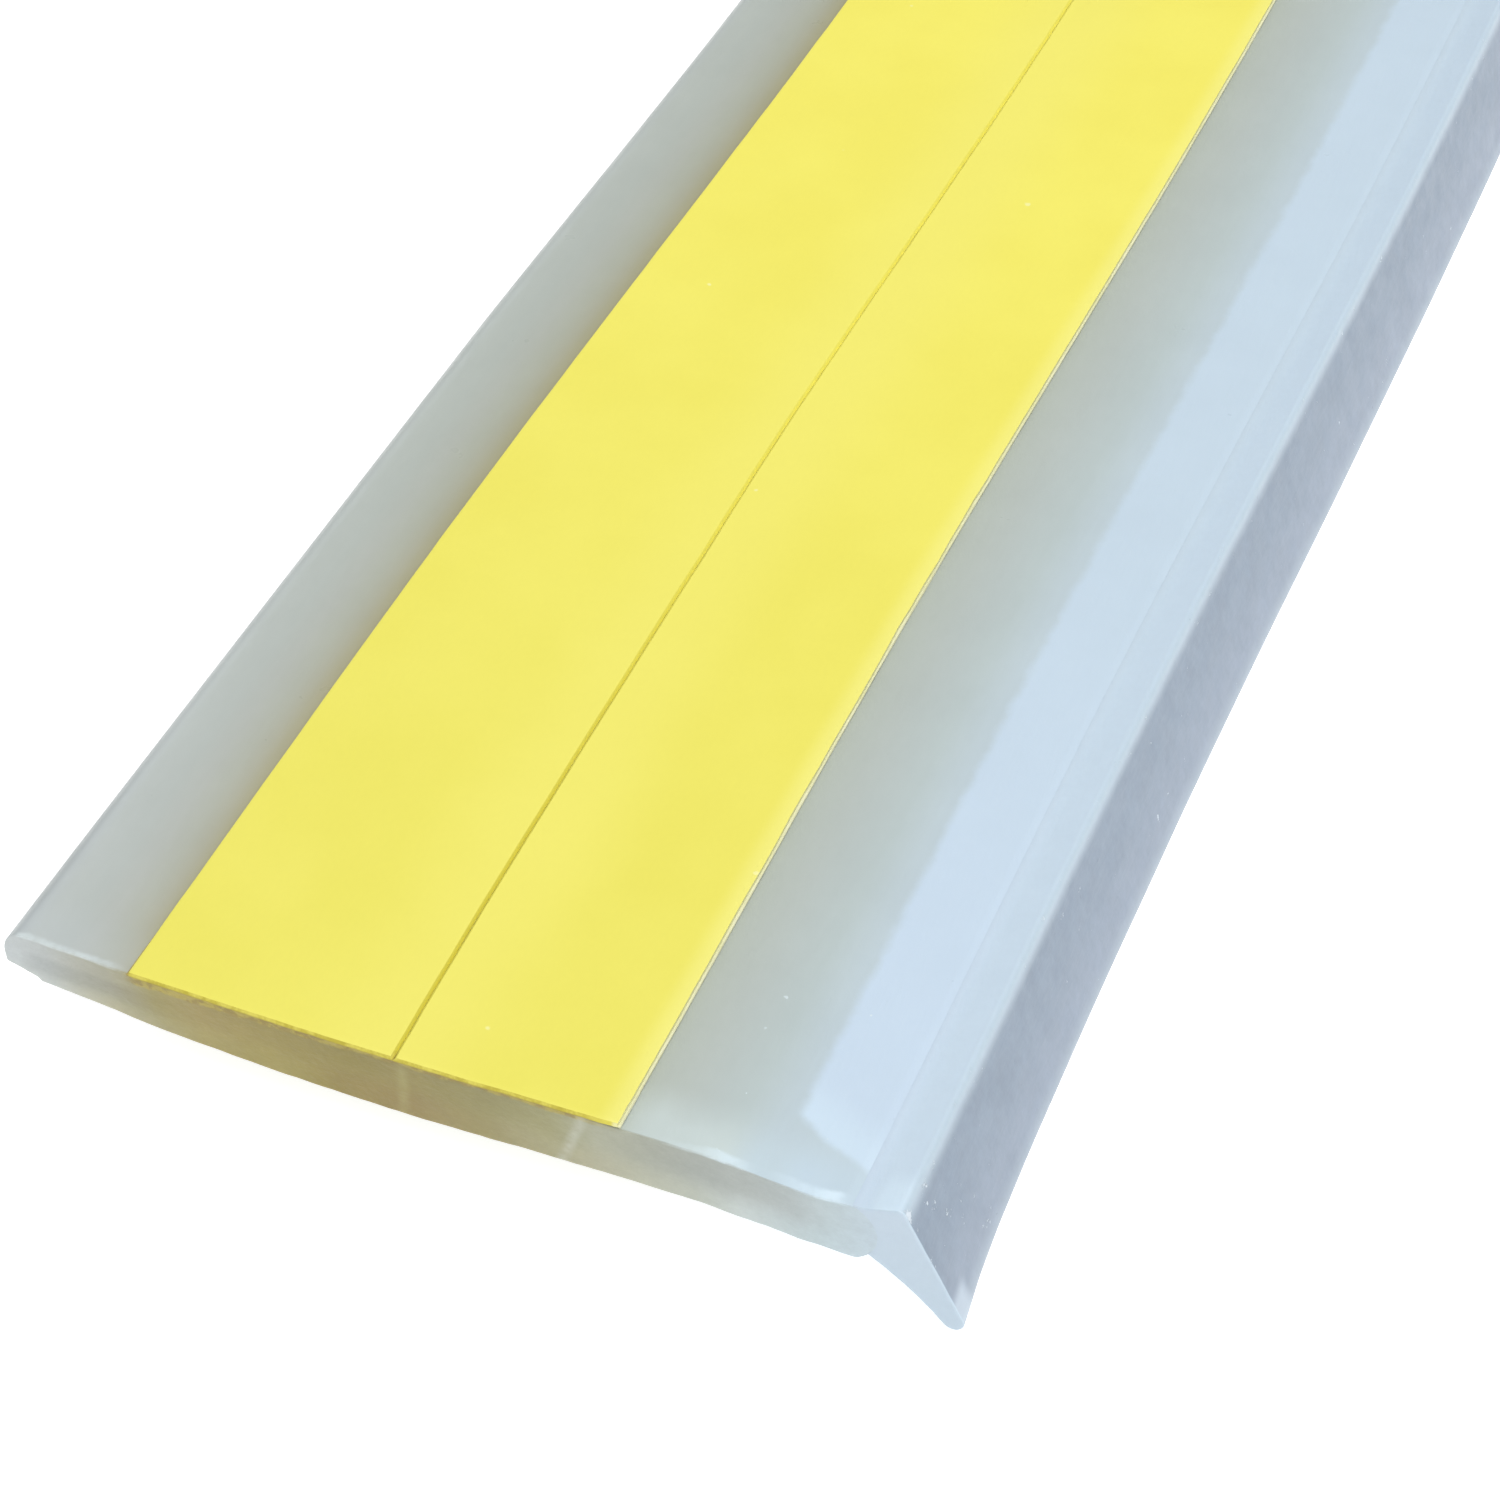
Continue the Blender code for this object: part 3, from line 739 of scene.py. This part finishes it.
def liner_material():
    k = Look("liner_yellow_paper")
    vec, x, y, z = k.axes()
    base = k.mix(k.step(k.noise(0.12, 3.0, 0.55), 0.3, 0.7), paint(237, 228, 96), paint(240, 231, 102))
    base = k.mix(k.step(end_distance(k), 4.0, 75.0), base,
                 k.mix(k.step(k.noise(0.12, 3.0, 0.55), 0.3, 0.7), paint(245, 234, 99), paint(248, 238, 105)))
    slit_off = k.math("ABSOLUTE", k.math("SUBTRACT", x, SLIT_X + 0.3))
    base = k.mix(k.math("MULTIPLY", k.step(slit_off, 5.0, 0.6), 0.55), base, paint(245, 236, 114))
    # painted highlight: the top is painted paler over the last millimetre before the right edge, where the paper rounds
    # over
    base = k.mix(k.math("MULTIPLY", k.step(x, LINER_X1 - 1.1, LINER_X1 - 0.15), 0.5), base, paint(250, 244, 142))
    # paper fibre and fine flecks
    base = k.shade(base, k.noise(5.0, 4.0, 0.7, stretch=(1, 0.5, 1), shift=2.0), 0.020)
    base = k.mix(k.math("MULTIPLY", k.step(k.noise(1.1, 1.0, 0.4, shift=15.0), 0.80, 0.83), 0.7), base, paint(250, 247, 176))
    fibre = k.noise(9.0, 4.0, 0.65, stretch=(1, 0.35, 1), shift=1.0)
    soft = k.noise(0.5, 2.0, 0.5, shift=3.0)
    normal = k.bump(fibre, 0.10, 0.00004)
    normal = k.bump(soft, 0.15, 0.00010, normal)
    rough = k.step(k.noise(0.7, 3.0, 0.6, shift=8.0), 0.2, 0.8, 0.46, 0.58)
    return k.finish(base, rough, normal, IOR=1.45)


def liner_edge_material(name, wall_low, wall_top):
    k = Look(name)
    vec, x, y, z = k.axes()
    # the ends show the dyed paper, painted darker than the top as painted shade and darkest low down; the long outer
    # edges its pale core
    core = k.mix(k.step(k.noise(3.0, 4.0, 0.7, shift=2.0), 0.3, 0.7), paint(236, 232, 160), paint(242, 239, 184))
    fray = k.noise(2.0, 4.0, 0.7, shift=4.0)
    dyed = k.mix(k.step(fray, 0.35, 0.65), paint(192, 177, 62), paint(222, 210, 92))
    # painted shade: darker at the foot of the end face
    dyed = k.mix(k.step(z, 0.20, 0.13), dyed, paint(176, 158, 76))
    dyed = k.mix(k.step(x, 25.0, 26.8), dyed, paint(222, 210, 88))
    # the slit's walls lie deep in the same dyed paper, but catch more light
    wall = k.mix(k.step(z, 0.14, 0.30), wall_low, wall_top)
    # farther in the halves sit closer and hardly shade each other
    wall = k.mix(k.step(end_distance(k), 5.0, 46.0, 0.0, 0.9), wall, paint(244, 235, 104))
    wall = k.shade(wall, k.noise(1.2, 3.0, 0.6, shift=6.0), 0.05)
    dyed = k.mix(k.step(end_distance(k), 0.10, 0.45), dyed, wall)
    colour = k.mix(k.step(x, LINER_X1 - 0.35, LINER_X1 - 0.15), dyed, core)
    fibre = k.noise(16.0, 3.0, 0.7, shift=1.0)
    normal = k.bump(fibre, 0.4, 0.00004)
    return k.finish(colour, k.step(fibre, 0.2, 0.8, 0.68, 0.82), normal, IOR=1.45)


def adhesive_material(name, warm):
    k = Look(name)
    base = k.mix(k.step(k.noise(0.5, 3.0, 0.6, shift=warm), 0.3, 0.7), paint(230, 228, 178), paint(240, 238, 198))
    base = k.shade(base, k.noise(4.0, 3.0, 0.6, shift=warm + 2), 0.04)
    _, x, _, _ = k.axes()
    # painted shade: the layer is painted brown near the cut, under the liner's overhang, and towards the plain edge
    tape_shade = k.math("MAXIMUM", k.step(end_distance(k), 0.30, 0.05), k.step(x, 8.0, 6.8))
    tape_shade = k.math("MULTIPLY", tape_shade, k.step(x, 27.0, 25.6))
    base = k.mix(tape_shade, base, k.mix(k.step(k.noise(2.5, 3.0, 0.6, shift=warm + 3), 0.35, 0.65), paint(158, 140, 78), paint(182, 166, 96)))
    ripple = k.noise(1.1, 4.0, 0.6, stretch=(1, 0.4, 1), shift=warm + 1)
    dots = k.noise(5.5, 2.0, 0.5, shift=warm + 4)
    normal = k.bump(ripple, 0.5, 0.00012)
    normal = k.bump(dots, 0.25, 0.00004, normal)
    rough = k.step(k.noise(0.8, 3.0, 0.6, shift=6.0), 0.2, 0.8, 0.12, 0.30)
    return k.finish(base, rough, normal, IOR=1.48, Subsurface_Weight=0.15,
                    Subsurface_Radius=(1.0, 0.9, 0.7), Subsurface_Scale=0.0004)


def film_material():
    k = Look("tape_film")
    base = k.mix(k.step(k.noise(0.3, 2.0, 0.5), 0.3, 0.7), paint(236, 236, 210), paint(244, 244, 222))
    base = k.shade(base, k.noise(6.0, 2.0, 0.5, shift=2.0), 0.02)
    _, x, _, _ = k.axes()
    # painted shade: the film is painted brown near the cut, under the liner's overhang, and towards the plain edge
    tape_shade = k.math("MAXIMUM", k.step(end_distance(k), 0.30, 0.05), k.step(x, 8.0, 6.8))
    base = k.mix(k.math("MULTIPLY", tape_shade, k.step(x, 27.0, 25.6)), base, paint(170, 156, 92))
    streak = k.noise(2.0, 3.0, 0.6, stretch=(1, 0.05, 1), shift=1.0)
    return k.finish(base, k.step(streak, 0.2, 0.8, 0.16, 0.26), k.bump(streak, 0.2, 0.00004), IOR=1.57)


# ---- camera, light and floor -----------------------------------------------------
def camera():
    cam = bpy.data.cameras.new("camera")
    cam.sensor_fit = "HORIZONTAL"
    cam.sensor_width = 36.0
    cam.lens = 80.63
    cam.clip_start = 0.005
    cam.clip_end = 20.0
    ob = bpy.data.objects.new("camera", cam)
    right = Vector((0.9190578, 0.39336195, -0.02447728)).normalized()
    back = Vector((0.29461565, -0.64443728, 0.70562186)).normalized()
    up = back.cross(right).normalized()
    m = Matrix((right, up, back)).transposed().to_4x4()
    m.translation = Vector(place((64.575, -69.210, 97.805)))
    ob.matrix_world = m
    bpy.context.scene.collection.objects.link(ob)
    bpy.context.scene.camera = ob
    return ob


def area(name, where, aim, size, power, colour, size_y=None):
    light = bpy.data.lights.new(name, "AREA")
    light.shape = "RECTANGLE"
    light.size = size
    light.size_y = size_y or size
    light.energy = power
    light.color = colour
    ob = bpy.data.objects.new(name, light)
    ob.location = where
    ob.rotation_euler = (Vector(aim) - Vector(where)).to_track_quat("-Z", "Y").to_euler()
    bpy.context.scene.collection.objects.link(ob)
    return ob


def studio():
    world = bpy.data.worlds.new("studio")
    bpy.context.scene.world = world
    world.use_nodes = True
    bg = world.node_tree.nodes["Background"]
    bg.inputs["Color"].default_value = (0.93, 0.97, 1.0, 1.0)
    bg.inputs["Strength"].default_value = 0.39
    aim = (0.0, -0.45, 0.0)
    # big soft key overhead, a little to the lip's side and in front
    area("key", (0.42, -0.80, 1.55), aim, 1.5, 26.5, (1.0, 0.99, 0.97))
    # window-like panel behind and to the plain edge's side
    area("window", (-1.25, 0.55, 0.75), (0.0, -0.42, 0.0), 0.8, 2.0, (0.86, 0.94, 1.0), 0.7)

    me = bpy.data.meshes.new("floor")
    n, half = 40, 12.0
    pts, faces = [], []
    for j in range(n + 1):
        for i in range(n + 1):
            pts.append((-half + 2 * half * i / n, -half + 2 * half * j / n, cad_lo.z - 0.0002))
    for j in range(n):
        for i in range(n):
            a = j * (n + 1) + i
            faces.append((a, a + 1, a + n + 2, a + n + 1))
    me.from_pydata(pts, [], faces)
    floor = bpy.data.objects.new("floor", me)
    bpy.context.scene.collection.objects.link(floor)
    k = Look("floor_pale")
    co = k.node("ShaderNodeTexCoord")
    tex = k.node("ShaderNodeTexNoise")
    tex.inputs["Scale"].default_value = 3.0
    k.tree.links.new(co.outputs["Object"], tex.inputs["Vector"])
    colour = k.mix(tex.outputs["Fac"], (0.60, 0.60, 0.60), (0.62, 0.62, 0.62))
    k.finish(colour, 0.9)
    k.bsdf.inputs["Emission Color"].default_value = (1.0, 1.0, 1.0, 1.0)
    k.bsdf.inputs["Emission Strength"].default_value = 0.70
    k.bsdf.inputs["Specular IOR Level"].default_value = 0.0
    me.materials.append(k.mat)


camera()
studio()
bpy.context.scene.view_settings.view_transform = "Standard"

build_web(web_material())
build_lip(lip_material())
glue = adhesive_material("adhesive_web_side", 3.0)
glue_top = adhesive_material("adhesive_door_side", 8.0)
build_layer("tape_glue_lower", "web_side_adhesive", glue, 0.003, 0.040, 0.030, 31, 0.03)
build_layer("tape_film", "tape_carrier_film", film_material(), 0.045, 0.025, 0.0, 37, 0.0)
build_layer("tape_glue_upper", "door_side_adhesive", glue_top, 0.072, 0.056, 0.035, 43, 0.05)
paper = liner_material()
edge_left = liner_edge_material("liner_cut_edge_left", paint(216, 204, 70), paint(222, 211, 80))
edge_right = liner_edge_material("liner_cut_edge_right", paint(222, 211, 72), paint(242, 233, 102))
build_liner("liner_paper_left", "liner_left", "release_liner_left", [paper, edge_left], True)
build_liner("liner_paper_right", "liner_right", "release_liner_right", [paper, edge_right], False)

bpy.context.view_layer.update()
